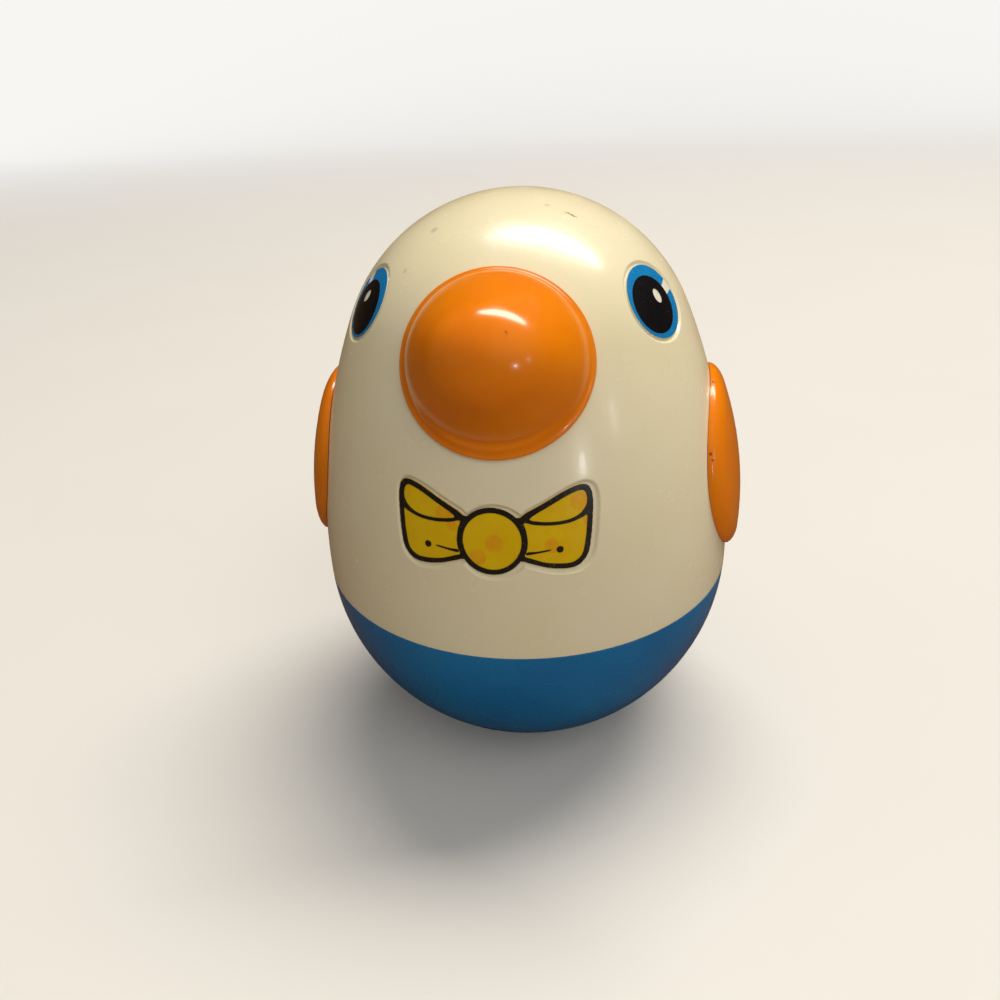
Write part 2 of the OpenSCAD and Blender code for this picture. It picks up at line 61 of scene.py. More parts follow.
def eggGap(spots):
    # distance of points above the egg, and the way out there
    spots = np.asarray(spots, float).reshape(-1, 3)
    r = np.hypot(spots[:, 0], spots[:, 1])
    rise = spots[:, 2] - widestZ
    low = rise < 0
    side = ~low & (np.arctan2(rise, r - sideX) < joinAngle)
    out = np.where(side, r - sideX, r)
    away = np.where(low | side, rise, rise - crownRise)
    reach = np.where(low, bodyR, np.where(side, sideR, crownR))
    size = np.hypot(out, away)
    flat = spots[:, :2] / np.maximum(r, tiny)[:, None]
    outward = np.column_stack([flat * (out / size)[:, None], away / size])
    return size - reach, outward


def eggRadius(z):
    rise = z - widestZ
    if rise < 0:
        return math.sqrt(bodyR ** 2 - rise ** 2)
    if rise < sideR * math.sin(joinAngle):
        return math.sqrt(sideR ** 2 - rise ** 2) + sideX
    return math.sqrt(max(crownR ** 2 - (rise - crownRise) ** 2, 0))


def sitOnEgg(spots, way, lift):
    # slides points along a line until they are lift above the egg
    spots = np.array(spots, float).reshape(-1, 3)
    way = np.array(way)
    rounds, steepest = 12, 0.2
    for _ in range(rounds):
        gap, out = eggGap(spots)
        spots -= way * ((gap - lift) / np.maximum(out @ way, steepest))[:, None]
    return spots


def placeOnEgg(turn, height, lean=None):
    # middle, right, up and out of a place on the egg, turned from the face
    t = math.radians(turn)
    r = eggRadius(height)
    middle = Vector((math.sin(t) * r, -math.cos(t) * r, height))
    tilt = math.radians(lean) if lean is not None else math.asin(eggGap(middle)[1][0][2])
    out = Vector((math.sin(t) * math.cos(tilt), -math.cos(t) * math.cos(tilt), math.sin(tilt)))
    right = Vector((math.cos(t), math.sin(t), 0))
    return middle, right, out.cross(right), out


def smoothStep(low, high, value):
    k = np.clip((value - low) / (high - low), 0, 1)
    return k * k * (3 - 2 * k)


def getSpots(obj):
    # places of all vertices, in millimetres
    spots = np.empty(len(obj.data.vertices) * 3)
    obj.data.vertices.foreach_get("co", spots)
    return spots.reshape(-1, 3) / mm


def putSpots(obj, spots):
    obj.data.vertices.foreach_set("co", (np.asarray(spots) * mm).ravel())
    obj.data.update()


def clearSelection():
    if bpy.context.object and bpy.context.object.mode != "OBJECT":
        bpy.ops.object.mode_set(mode="OBJECT")
    bpy.ops.object.select_all(action="DESELECT")


def pick(obj):
    clearSelection()
    bpy.context.view_layer.objects.active = obj
    obj.select_set(True)


def applyModifier(obj, kind, **values):
    pick(obj)
    modifier = obj.modifiers.new(kind.title(), kind)
    for key, value in values.items():
        setattr(modifier, key, value)
    bpy.ops.object.modifier_apply(modifier=modifier.name)


def faceOut(obj):
    # turns all faces outwards
    pick(obj)
    bpy.ops.object.mode_set(mode="EDIT")
    bpy.ops.mesh.select_all(action="SELECT")
    bpy.ops.mesh.normals_make_consistent(inside=False)
    bpy.ops.object.mode_set(mode="OBJECT")


def smoothShade(obj, angle):
    pick(obj)
    bpy.ops.object.shade_smooth_by_angle(angle=math.radians(angle))


def spinProfile(name, profile, steps):
    # a run of points (radius, height) drawn by extruding one vertex, then spun round Z
    clearSelection()
    bpy.ops.mesh.primitive_plane_add(size=mm, location=(0, 0, 0))
    obj = bpy.context.object
    obj.name = name
    bpy.ops.object.mode_set(mode="EDIT")
    bpy.ops.mesh.select_mode(type="VERT")
    bpy.ops.mesh.select_all(action="SELECT")
    bpy.ops.mesh.merge(type="CENTER")
    spots = [Vector((r, 0, z)) * mm for r, z in profile]
    bpy.ops.transform.translate(value=spots[0])
    for a, b in zip(spots, spots[1:]):
        bpy.ops.mesh.extrude_vertices_move(TRANSFORM_OT_translate={"value": b - a})
    bpy.ops.mesh.select_all(action="SELECT")
    bpy.ops.mesh.spin(steps=steps, angle=math.tau, center=(0, 0, 0), axis=(0, 0, 1))
    bpy.ops.mesh.select_all(action="SELECT")
    bpy.ops.mesh.remove_doubles(threshold=weld)
    bpy.ops.mesh.normals_make_consistent(inside=False)
    bpy.ops.object.mode_set(mode="OBJECT")
    return obj


def arc(centre, radius, start, end, count):
    # points on an arc, angles from level, the first one left out
    a, b = math.radians(start), math.radians(end)
    turns = [a + (b - a) * i / count for i in range(1, count + 1)]
    return [(centre[0] + radius * math.cos(t), centre[1] + radius * math.sin(t)) for t in turns]


def dress(obj, material, body, slot, *replaced):
    obj.data.materials.clear()
    obj.data.materials.append(material)
    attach(obj, body)
    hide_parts(*replaced)


# camera, found from the outline of the egg and its seam in the picture
shot = {
    "place": (27.27, -201.68, 172.77),
    "right": (0.98843, 0.14569, -0.04228),
    "up": (-0.03107, 0.46721, 0.8836),
    "back": (0.14848, -0.87206, 0.46633),
    "lens": 29.52,
    "sensor": 36,
    "near": 0.01,  # in metres
}
clearSelection()
bpy.ops.object.camera_add()
camera = bpy.context.object
camera.name = "shotCamera"
camera.data.lens = shot["lens"]
camera.data.sensor_width = shot["sensor"]
camera.data.clip_start = shot["near"]
turned = Matrix([shot["right"], shot["up"], shot["back"]]).transposed().to_4x4()
camera.matrix_world = Matrix.Translation(Vector(shot["place"]) * mm) @ turned
bpy.context.scene.camera = camera
print("camera set")


# materials: bands of noise that are stretched to the full range
cloudBand = (0.35, 0.7)
wearBand = (0.3, 0.7)
scratchTurn = (0.4, 0.9, 0.3)  # scratches run slanted across a piece


def startMaterial(name):
    material = bpy.data.materials.new(name)
    material.use_nodes = True
    tree = material.node_tree
    shader = tree.nodes["Principled BSDF"]
    place = tree.nodes.new("ShaderNodeTexCoord").outputs["Object"]
    return material, tree, shader, place


def noise(tree, place, size, detail=3.0):
    node = tree.nodes.new("ShaderNodeTexNoise")
    node.inputs["Scale"].default_value = 1 / (size * mm)
    node.inputs["Detail"].default_value = detail
    tree.links.new(place, node.inputs["Vector"])
    return node.outputs["Fac"]


def remap(tree, value, low, high, toLow=0.0, toHigh=1.0, smooth=False):
    node = tree.nodes.new("ShaderNodeMapRange")
    node.interpolation_type = "SMOOTHSTEP" if smooth else "LINEAR"
    limits = {"From Min": low, "From Max": high, "To Min": toLow, "To Max": toHigh}
    for socket, number in limits.items():
        node.inputs[socket].default_value = number
    tree.links.new(value, node.inputs["Value"])
    return node.outputs["Result"]


def combine(tree, kind, first, second):
    node = tree.nodes.new("ShaderNodeMath")
    node.operation = kind
    for socket, value in zip(node.inputs, (first, second)):
        if isinstance(value, (int, float)):
            socket.default_value = value
        else:
            tree.links.new(value, socket)
    return node.outputs["Value"]


def blendColours(tree, amount, first, second):
    node = tree.nodes.new("ShaderNodeMix")
    node.data_type = "RGBA"  # its colours are sockets 6 and 7, and the mixed one is output 2
    tree.links.new(amount, node.inputs["Factor"])
    for socket, colour in ((node.inputs[6], first), (node.inputs[7], second)):
        if isinstance(colour, tuple):
            socket.default_value = (*colour, 1)
        else:
            tree.links.new(colour, socket)
    return node.outputs[2]


def spotMask(tree, place, centre, radius, soft):
    # 1 inside a ball round a place on the piece, fading out over soft
    node = tree.nodes.new("ShaderNodeVectorMath")
    node.operation = "DISTANCE"
    tree.links.new(place, node.inputs[0])
    node.inputs[1].default_value = Vector(centre) * mm
    return remap(tree, node.outputs["Value"], (radius - soft) * mm, (radius + soft) * mm, 1, 0, True)


def mixShaders(tree, amount, first, second):
    node = tree.nodes.new("ShaderNodeMixShader")
    tree.links.new(amount, node.inputs["Fac"])
    tree.links.new(first, node.inputs[1])
    tree.links.new(second, node.inputs[2])
    return node.outputs["Shader"]


def largest(tree, values):
    total = values[0]
    for value in values[1:]:
        total = combine(tree, "MAXIMUM", total, value)
    return total


def roughen(tree, shader, value, low, high):
    tree.links.new(remap(tree, value, *wearBand, low, high), shader.inputs["Roughness"])


def addBump(tree, shader, value, strength, depth):
    node = tree.nodes.new("ShaderNodeBump")
    node.inputs["Strength"].default_value = strength
    node.inputs["Distance"].default_value = depth * mm
    tree.links.new(value, node.inputs["Height"])
    tree.links.new(node.outputs["Normal"], shader.inputs["Normal"])


def addCoat(shader, weight, rough):
    shader.inputs["Coat Weight"].default_value = weight
    shader.inputs["Coat Roughness"].default_value = rough


def scratches(tree, place, size, stretch, cut):
    # thin lines: noise pulled long on one axis, kept only along its middle value
    turn = tree.nodes.new("ShaderNodeMapping")
    turn.inputs["Rotation"].default_value = scratchTurn
    turn.inputs["Scale"].default_value = (1, stretch, stretch)
    tree.links.new(place, turn.inputs["Vector"])
    field = noise(tree, turn.outputs["Vector"], size, detail=2.0)
    near = combine(tree, "ABSOLUTE", combine(tree, "SUBTRACT", field, 0.5), 0)
    return remap(tree, near, 0, cut, 1, 0)


ivory = {
    "colour": (0.86, 0.785, 0.555),
    "yellowed": (0.835, 0.745, 0.485),
    "grime": (0.16, 0.13, 0.09),
    "rough": (0.19, 0.29),
    "coat": (0.12, 0.07),
    "cloudSize": 38,
    "wearSize": 9,
    "pitSize": 2.6,
    "bump": (0.05, 0.05),
    "scratch": (26, 0.06, 0.006),
    "scratchShare": 0.05,
    "tearSize": 0.7,
    "tearBand": (0.36, 0.46),
    "scuffSoft": 0.14,
    "stainSoft": 0.4,
    "stainShare": 0.3,
    "dustSize": 0.35,
    "dustBand": (0.74, 0.8),
    "dustShare": 0.35,
    "scuffs": [
        ((12.5, -12.8, 144.2), 0.16), ((13.0, -12.95, 143.95), 0.2), ((13.4, -12.75, 143.9), 0.26),
        ((13.8, -13.1, 143.65), 0.3), ((14.25, -13.1, 143.5), 0.3), ((14.7, -13.3, 143.25), 0.3),
        ((15.15, -13.35, 143.05), 0.22),
    ],
    "stains": [((-16.2, -16.6, 141.4), 0.9), ((8.6, -11.7, 145.4), 0.5), ((-21.7, -24.0, 134.1), 0.5)],
}


def ivoryPlastic():
    material, tree, shader, place = startMaterial("ivoryPlastic")
    broad = remap(tree, noise(tree, place, ivory["cloudSize"]), *cloudBand)
    colour = blendColours(tree, broad, ivory["colour"], ivory["yellowed"])
    torn = remap(tree, noise(tree, place, ivory["tearSize"], detail=4.0), *ivory["tearBand"])
    soft = ivory["scuffSoft"]
    dark = largest(tree, [spotMask(tree, place, spot, size, soft) for spot, size in ivory["scuffs"]])
    colour = blendColours(tree, combine(tree, "MULTIPLY", dark, torn), colour, ivory["grime"])
    soft = ivory["stainSoft"]
    faint = largest(tree, [spotMask(tree, place, spot, size, soft) for spot, size in ivory["stains"]])
    faint = combine(tree, "MULTIPLY", faint, ivory["stainShare"])
    colour = blendColours(tree, faint, colour, ivory["grime"])
    specks = remap(tree, noise(tree, place, ivory["dustSize"], detail=1.0), *ivory["dustBand"])
    dust = combine(tree, "MULTIPLY", specks, ivory["dustShare"])
    colour = blendColours(tree, dust, colour, ivory["grime"])
    tree.links.new(colour, shader.inputs["Base Color"])
    lines = combine(tree, "MULTIPLY", scratches(tree, place, *ivory["scratch"]), ivory["scratchShare"])
    wear = combine(tree, "ADD", noise(tree, place, ivory["wearSize"]), lines)
    roughen(tree, shader, wear, *ivory["rough"])
    addBump(tree, shader, noise(tree, place, ivory["pitSize"], detail=1.0), *ivory["bump"])
    addCoat(shader, *ivory["coat"])
    return material


blue = {
    "colour": (0.002, 0.175, 0.420),
    "deep": (0.002, 0.140, 0.360),
    "rubbed": (0.10, 0.25, 0.45),
    "rough": (0.22, 0.36),
    "cloudSize": 24,
    "cloudBand": (0.35, 0.68),
    "wearSize": 7,
    "pitSize": 1.8,
    "bump": (0.05, 0.05),
    "scratch": (16, 0.05, 0.012),
    "scratchH": 14,
    "rubbedShare": 0.5,
    "scratchShare": 0.4,
}


def bluePlastic():
    material, tree, shader, place = startMaterial("bluePlastic")
    broad = remap(tree, noise(tree, place, blue["cloudSize"]), *blue["cloudBand"])
    colour = blendColours(tree, broad, blue["colour"], blue["deep"])
    height = tree.nodes.new("ShaderNodeSeparateXYZ")
    tree.links.new(place, height.inputs["Vector"])
    low = remap(tree, height.outputs["Z"], 0, blue["scratchH"] * mm, 1, 0, True)  # rubbed where it rolls
    lines = combine(tree, "MULTIPLY", scratches(tree, place, *blue["scratch"]), low)
    rubbed = combine(tree, "MULTIPLY", lines, blue["rubbedShare"])
    tree.links.new(blendColours(tree, rubbed, colour, blue["rubbed"]), shader.inputs["Base Color"])
    lines = combine(tree, "MULTIPLY", lines, blue["scratchShare"])
    wear = combine(tree, "ADD", noise(tree, place, blue["wearSize"]), lines)
    roughen(tree, shader, wear, *blue["rough"])
    addBump(tree, shader, noise(tree, place, blue["pitSize"], detail=1.0), *blue["bump"])
    return material


orange = {
    "colour": (0.86, 0.235, 0.002),
    "ripe": (0.82, 0.195, 0.002),
    "mark": (0.16, 0.04, 0.01),
    "rough": (0.16, 0.27),
    "coat": (0.2, 0.06),
    "cloudSize": 16,
    "wearSize": 6,
    "pitSize": 2.2,
    "bump": (0.06, 0.05),
    "scratch": (14, 0.06, 0.01),
    "scratchShare": 0.25,
    "tearSize": 0.5,
    "tearBand": (0.42, 0.5),
    "markSoft": 0.22,
    "glow": 0.08,
    "glowReach": (0.002, 0.0007, 0.0002),  # in metres
}


def orangePlastic(name, marks):
    material, tree, shader, place = startMaterial(name)
    broad = remap(tree, noise(tree, place, orange["cloudSize"]), *cloudBand)
    colour = blendColours(tree, broad, orange["colour"], orange["ripe"])
    torn = remap(tree, noise(tree, place, orange["tearSize"]), *orange["tearBand"])
    soft = orange["markSoft"]
    spots = largest(tree, [spotMask(tree, place, spot, size, soft) for spot, size in marks])
    colour = blendColours(tree, combine(tree, "MULTIPLY", spots, torn), colour, orange["mark"])
    tree.links.new(colour, shader.inputs["Base Color"])
    lines = combine(tree, "MULTIPLY", scratches(tree, place, *orange["scratch"]), orange["scratchShare"])
    wear = combine(tree, "ADD", noise(tree, place, orange["wearSize"]), lines)
    roughen(tree, shader, wear, *orange["rough"])
    addBump(tree, shader, noise(tree, place, orange["pitSize"], detail=1.0), *orange["bump"])
    addCoat(shader, *orange["coat"])
    shader.inputs["Subsurface Weight"].default_value = orange["glow"]
    shader.inputs["Subsurface Radius"].default_value = orange["glowReach"]
    return material


ink = {
    "cloudSize": 5,
    "cloudShare": 0.25,
    "deepen": 0.7,
    "chipSize": 0.3,
    "chipEdge": 0.03,
    "wearSize": 1.5,
    "pitSize": 0.6,
    "bump": (0.08, 0.02),
}
metal = {
    "cloudSize": 4,
    "wearSize": 1.2,
    "pitSize": 0.5,
    "bump": (0.1, 0.03),
}
# colour of each ink, its colour where worn, its roughness and the noise value where chips begin
inks = {
    "bowInk": ((0.012, 0.011, 0.010), (0.55, 0.36, 0.02), (0.25, 0.42), 0.70),
    "eyeFilm": ((0.82, 0.79, 0.66), (0.60, 0.56, 0.45), (0.2, 0.32), 0.74),
    "eyeBlue": ((0.004, 0.21, 0.52), (0.45, 0.55, 0.55), (0.2, 0.34), 0.73),
    "eyeBlack": ((0.006, 0.006, 0.008), (0.30, 0.29, 0.24), (0.16, 0.3), 0.76),
}


def printInk(name):
    # flat ink on a label, with tiny chips where the film shows
    colour, worn, rough, chips = inks[name]
    material, tree, shader, place = startMaterial(name)
    broad = remap(tree, noise(tree, place, ink["cloudSize"]), *wearBand, 0.0, ink["cloudShare"])
    tone = blendColours(tree, broad, colour, tuple(ink["deepen"] * c for c in colour))
    flecks = remap(tree, noise(tree, place, ink["chipSize"], detail=2.0), chips, chips + ink["chipEdge"])
    tree.links.new(blendColours(tree, flecks, tone, worn), shader.inputs["Base Color"])
    roughen(tree, shader, noise(tree, place, ink["wearSize"]), *rough)
    addBump(tree, shader, noise(tree, place, ink["pitSize"], detail=2.0), *ink["bump"])
    return material


def innerMetal(name, colour, tarnish, rough, metallic):
    material, tree, shader, place = startMaterial(name)
    broad = remap(tree, noise(tree, place, metal["cloudSize"]), *cloudBand)
    tree.links.new(blendColours(tree, broad, colour, tarnish), shader.inputs["Base Color"])
    roughen(tree, shader, noise(tree, place, metal["wearSize"], detail=4.0), *rough)
    addBump(tree, shader, noise(tree, place, metal["pitSize"], detail=2.0), *metal["bump"])
    shader.inputs["Metallic"].default_value = metallic
    return material


# label outlines, in millimetres across and up from the middle of the knot, right half
bow = {
    "height": 0.561 * egg["toyH"],
    "knotR": 7.6,
    "lineW": 1.15,
    "off": (-0.4, -0.3),  # stuck on a little off
    "outline": [
        (5.4, -4.3), (8.2, -4.9), (12.2, -6.15), (16.2, -6.65), (18.7, -6.1), (20.5, -3.9),
        (21.1, -0.4), (21.35, 4.2), (21.3, 8.4), (20.5, 10.9), (18.7, 11.6),
        (15.3, 10.55), (11.4, 8.5), (7.6, 6.55), (5.2, 5.35),
    ],
    "panel": [
        (7.15, -3.25), (8.4, -3.8), (11.9, -5.0), (16.0, -5.5), (18.0, -5.1), (19.4, -3.6),
        (20.0, -0.4), (20.25, 3.4), (20.15, 4.9), (19.2, 4.5), (16.4, 3.65), (12.9, 3.45),
        (9.4, 3.75), (7.0, 4.25), (7.45, 2.4), (7.78, 0.0), (7.6, -1.8),
    ],
    "loop": [
        (8.2, 4.95), (9.7, 4.5), (12.9, 4.18), (16.2, 4.38), (18.6, 5.3), (19.9, 6.9),
        (20.15, 8.4), (19.6, 10.0), (18.4, 10.35), (15.7, 9.45), (11.9, 7.45), (9.0, 5.85),
    ],
    "stroke": [(7.58, -2.95), (9.6, -2.72), (12.4, -2.25), (12.3, -2.0), (9.5, -2.3), (7.66, -2.35)],
    "dot": (14.6, -2.1),
    "dotR": 0.74,
    "dotCuts": 24,
    "knotCuts": 96,
    "turns": 720,
    "filmIn": 0.15,
    "ragged": 0.05,
    "raggedWaves": (61, 147),
    "pitch": (1.0, 3.0),
    "yellow": (0.78, 0.51, 0.001),
    "yellowDeep": (0.74, 0.45, 0.001),
    "spotColour": (0.78, 0.32, 0.004),
    "fleckColour": (0.72, 0.60, 0.25),
    "shine": 0.35,
    "rough": (0.22, 0.36),
    "cloudSize": 7,
    "wearSize": 3,
    "pitSize": 1.2,
    "bump": (0.06, 0.03),
    "fleckSize": 0.4,
    "fleckBand": (0.72, 0.75),
    "fadeSize": 2.2,
    "spotShare": (0.4, 0.85),
    "spotSoft": 0.22,
    "spots": [
        ((-11.0, -50.4, 88.2), 2.0), ((0.0, -52.7, 82.3), 2.0), ((-3.6, -53.1, 78.9), 1.9),
        ((18.2, -47.6, 90.7), 2.0), ((12.6, -51.3, 81.5), 1.7), ((20.3, -47.8, 86.1), 1.3),
        ((-9.2, -51.2, 85.6), 1.3),
    ],
}
bowPlace = (
    Vector((bow["off"][0], -eggRadius(bow["height"]), bow["height"] + bow["off"][1])),
    Vector((1, 0, 0)), Vector((0, 0, 1)), Vector((0, -1, 0)),
)
eye = {
    "turn": 59.8,
    "height": 0.8548 * egg["toyH"],
    "r": 8.6,
    "pupilR": 6.7,
    "pupilFront": 1.1,
    "pupilDrop": 0.6,
    "glint": (1.25, 0.75),
    "glintSize": (1.35, 1.75),
    "glintLean": 8,
    "glintCuts": 40,
    "roll": {1: 0, -1: -32},  # turn of the label on each side
    "ringOuter": (25.5, 362.0),
    "ringInner": (366.0, 27.0),
    "ringTip": (8.55, 1.0),
    "underPupil": 0.25,
    "cuts": 96,
    "pitch": (1.0, 1.0),
}
recess = {
    "deep": 0.6,
    "margin": 0.8,
    "soft": 0.42,
    "shift": (0.05, -0.5),  # the bow tie sits a little off in its recess
    "bowReach": (27, 17),
    "eyeReach": 15,
    "far": 99.0,  # stands for places well away from any recess
}
film = {
    "top": 0.3,
    "thick": 0.28,
    "printTop": 0.17,
    "printThick": 0.13,
    "pupilLift": 0.02,
    "cutReach": (22, 12),
    "cutShift": 0.013,  # keeps the cuts off the outlines' own points
    "crease": 40,
}
curveSteps = 6  # points drawn from one given point to the next


def closedCurve(points):
    # points of a smooth closed run through the given ones (Catmull-Rom)
    run = []
    count = len(points)
    for i in range(count):
        a, b, c, d = (Vector(points[(i + k) % count]) for k in (-1, 0, 1, 2))
        for step in range(curveSteps):
            t = step / curveSteps
            bend = (2 * a - 5 * b + 4 * c - d) * t ** 2 + (3 * b - a - 3 * c + d) * t ** 3
            run.append(0.5 * (2 * b + (c - a) * t + bend))
    return run


def ring(centre, radius, count, squash=1.0, lean=0):
    cos, sin = math.cos(math.radians(lean)), math.sin(math.radians(lean))
    run = []
    for i in range(count):
        t = math.tau * i / count
        x, y = radius * math.cos(t), radius * squash * math.sin(t)
        run.append(Vector((centre[0] + x * cos - y * sin, centre[1] + x * sin + y * cos)))
    return run


def flipped(points):
    return [(-p[0], p[1]) for p in reversed(points)]


def edgeGap(x, y, run):
    # distance of points to a closed run, below zero inside it
    best = np.full(x.shape, np.inf)
    inside = np.zeros(x.shape, bool)
    for a, b in zip(run, run[1:] + run[:1]):
        span = b - a
        along = (x - a[0]) * span[0] + (y - a[1]) * span[1]
        k = np.clip(along / max(span.length_squared, tiny), 0, 1)
        best = np.minimum(best, np.hypot(x - a[0] - span[0] * k, y - a[1] - span[1] * k))
        if a[1] != b[1]:
            inside ^= ((a[1] > y) != (b[1] > y)) & (x < a[0] + span[0] * (y - a[1]) / span[1])
    return np.where(inside, -best, best)


bowHalf = bow["outline"]
bowRun = closedCurve(bowHalf + flipped(bowHalf))


def bowGap(x, y):
    return np.minimum(edgeGap(x, y, bowRun), np.hypot(x, y) - bow["knotR"])


# upper shell with soft recesses for the labels
shell = {
    "wall": 2.2,
    "edge": 0.25,
    "steps": 320,
    "sideCuts": 66,
    "crownCuts": 50,
    "innerCuts": (18, 22),
    "refine": (3.0, 1.6, 0.9),
    "skin": 0.1,
    "near": 0.4,
    "footIn": 0.6,
    "footH": 0.7,
    "edgeCuts": 4,
    "aboveSeam": 1.0,
    "crease": 40,
}


def rimGap(spots):
    # distance of points on the shell to the rim of the nearest label recess, below zero inside
    gap = np.full(len(spots), recess["far"])
    x, y, z = spots.T
    wide, tall = recess["bowReach"]
    near = (y < 0) & (np.abs(x) < wide) & (np.abs(z - bow["height"]) < tall)
    across, above = recess["shift"]
    gap[near] = bowGap(x[near] - across, z[near] - bow["height"] - above) - recess["margin"]
    for side in (1, -1):
        middle, right, up, _ = placeOnEgg(side * eye["turn"], eye["height"])
        away = spots - np.array(middle)
        near = np.linalg.norm(away, axis=1) < recess["eyeReach"]
        across = np.hypot(away[near] @ np.array(right), away[near] @ np.array(up))
        gap[near] = np.minimum(gap[near], across - eye["r"] - recess["margin"])
    return gap


def makeShell():
    wall, edge = shell["wall"], shell["edge"]
    join = math.degrees(joinAngle)
    crownCuts, sideCuts = shell["innerCuts"]
    inner = arc((0, widestZ + crownRise), crownR - wall, 90, join, crownCuts)
    inner += arc((sideX, widestZ), sideR - wall, join, 0, sideCuts)
    seamIn = math.sqrt((bodyR - wall) ** 2 - egg["seamDrop"] ** 2)
    seamOut = math.sqrt(bodyR ** 2 - egg["seamDrop"] ** 2)
    foot = [(seamIn, seamZ), (seamOut - edge - shell["footIn"], seamZ), (seamOut - edge, seamZ)]
    foot += arc((seamOut - edge, seamZ + edge), edge, -90, 0, shell["edgeCuts"])
    footTop = seamZ + shell["footH"]
    outer = [(eggRadius(footTop), footTop), (bodyR, widestZ)]
    outer += arc((sideX, widestZ), sideR, 0, join, shell["sideCuts"])
    outer += arc((0, widestZ + crownRise), crownR, join, 90, shell["crownCuts"])
    profile = [(0, egg["toyH"] - wall)] + inner + foot + outer
    profile[-1] = (0, egg["toyH"])
    obj = spinProfile("bodyShell", profile, shell["steps"])
    for margin in shell["refine"]:  # finer and finer towards the recess rims
        mesh = obj.data
        centres = np.empty(len(mesh.polygons) * 3)
        mesh.polygons.foreach_get("center", centres)
        centres = centres.reshape(-1, 3) / mm
        chosen = (np.abs(eggGap(centres)[0]) < shell["near"]) & (np.abs(rimGap(centres)) < margin)
        pick(obj)
        bpy.ops.object.mode_set(mode="EDIT")
        bpy.ops.mesh.select_mode(type="FACE")
        bpy.ops.mesh.select_all(action="DESELECT")
        bpy.ops.object.mode_set(mode="OBJECT")
        mesh.polygons.foreach_set("select", chosen)
        bpy.ops.object.mode_set(mode="EDIT")
        bpy.ops.mesh.subdivide(number_cuts=1)
        bpy.ops.object.mode_set(mode="OBJECT")
    spots = getSpots(obj)
    gaps, outs = eggGap(spots)
    skin = (np.abs(gaps) < shell["skin"]) & (spots[:, 2] > seamZ + shell["aboveSeam"])
    spots[skin] -= outs[skin] * gaps[skin, None]
    putSpots(obj, spots)
    soft = recess["soft"]
    deep = np.where(skin, smoothStep(soft, -soft, rimGap(spots)), 0)
    group = obj.vertex_groups.new(name="recess")
    for index in np.flatnonzero(deep > 0):
        group.add([int(index)], float(deep[index]), "REPLACE")
    push = {"direction": "NORMAL", "mid_level": 0.0, "strength": -recess["deep"] * mm}
    applyModifier(obj, "DISPLACE", vertex_group="recess", **push)
    obj.vertex_groups.clear()
    smoothShade(obj, shell["crease"])
    dress(obj, ivoryPlastic(), "toy", "ivory_plastic", "body_shell")


makeShell()
print("upper shell done")


# bowl that it rocks on
bowl = {
    "wall": 2.4,
    "edge": 0.25,
    "rimH": 5.0,
    "rimT": 1.6,
    "rimGap": 0.1,
    "chamfer": 0.3,
    "steps": 256,
    "cuts": 70,
    "innerCuts": 30,
    "edgeCuts": 4,
    "edgeLean": 0.4,
    "crease": 40,
}


def makeBowl():
    wall, edge = bowl["wall"], bowl["edge"]
    seamOut = math.sqrt(bodyR ** 2 - egg["seamDrop"] ** 2)
    rimOut = math.sqrt((bodyR - shell["wall"]) ** 2 - egg["seamDrop"] ** 2) - bowl["rimGap"]
    rimIn = rimOut - bowl["rimT"]
    seamLean = -math.degrees(math.asin(egg["seamDrop"] / bodyR))
    flatLean = -math.degrees(math.acos(egg["flatR"] / bodyR))
    outer = [(0, 0), (egg["flatR"] / 2, 0), (egg["flatR"], 0)]
    outer += arc((0, widestZ), bodyR, flatLean, seamLean - bowl["edgeLean"], bowl["cuts"])
    lip = arc((seamOut - edge, seamZ - edge), edge, 0, 90, bowl["edgeCuts"])
    top, chamfer = seamZ + bowl["rimH"], bowl["chamfer"]
    rim = [(rimOut, seamZ), (rimOut, top - chamfer), (rimOut - chamfer, top)]
    rim += [(rimIn + chamfer, top), (rimIn, top - chamfer), (rimIn, seamZ - bowl["rimH"])]
    innerLean = -math.degrees(math.asin((egg["seamDrop"] + bowl["rimH"]) / (bodyR - wall)))
    inner = arc((0, widestZ), bodyR - wall, innerLean, -90, bowl["innerCuts"])
    obj = spinProfile("rockingBowl", outer + lip + rim + inner, bowl["steps"])
    smoothShade(obj, bowl["crease"])
    dress(obj, bluePlastic(), "toy", "blue_plastic", "base_shell")


makeBowl()
print("bowl done")


# beak: a lip that hugs the shell, a blunt cone and a tip rounder sideways than up and down
beak = {
    "height": 0.809 * egg["toyH"],
    "tilt": 23.0,
    "lipR": 20.6,
    "lipW": 1.15,
    "lipT": 1.3,
    "reach": 16.0,
    "tipR": 14.0,
    "stretch": (1.02, 0.973),
    "drop": 0.4,
    "coneRise": 0.5,
    "widen": 0.06,
    "lower": 0.03,
    "gap": 0.15,
    "under": (0, 5, 10, 14, 17, 19),
    "footIn": 0.25,
    "footRound": (0.05, 0.12),
    "sideFrom": 0.5,
    "sink": 0.05,
    "edgeR": 0.45,
    "edgeTurn": 80,
    "edgeCuts": 6,
    "lean": 4.0,
    "bulge": (-0.30, 0.95),
    "tipFrom": (-3.5, 9.0),
    "coneFrom": (0.8, 1.6),
    "settleFrom": (5.0, 1.5),
    "flankCuts": 16,
    "tipCuts": 26,
    "steps": 192,
    "crease": 50,
    "marks": [((4.7, -53.6, 129.3), 0.16), ((4.75, -53.75, 128.95), 0.2), ((4.8, -53.95, 128.55), 0.16)],
}


def crownDrop(r):
    return np.sqrt(crownR ** 2 - r ** 2) - crownR


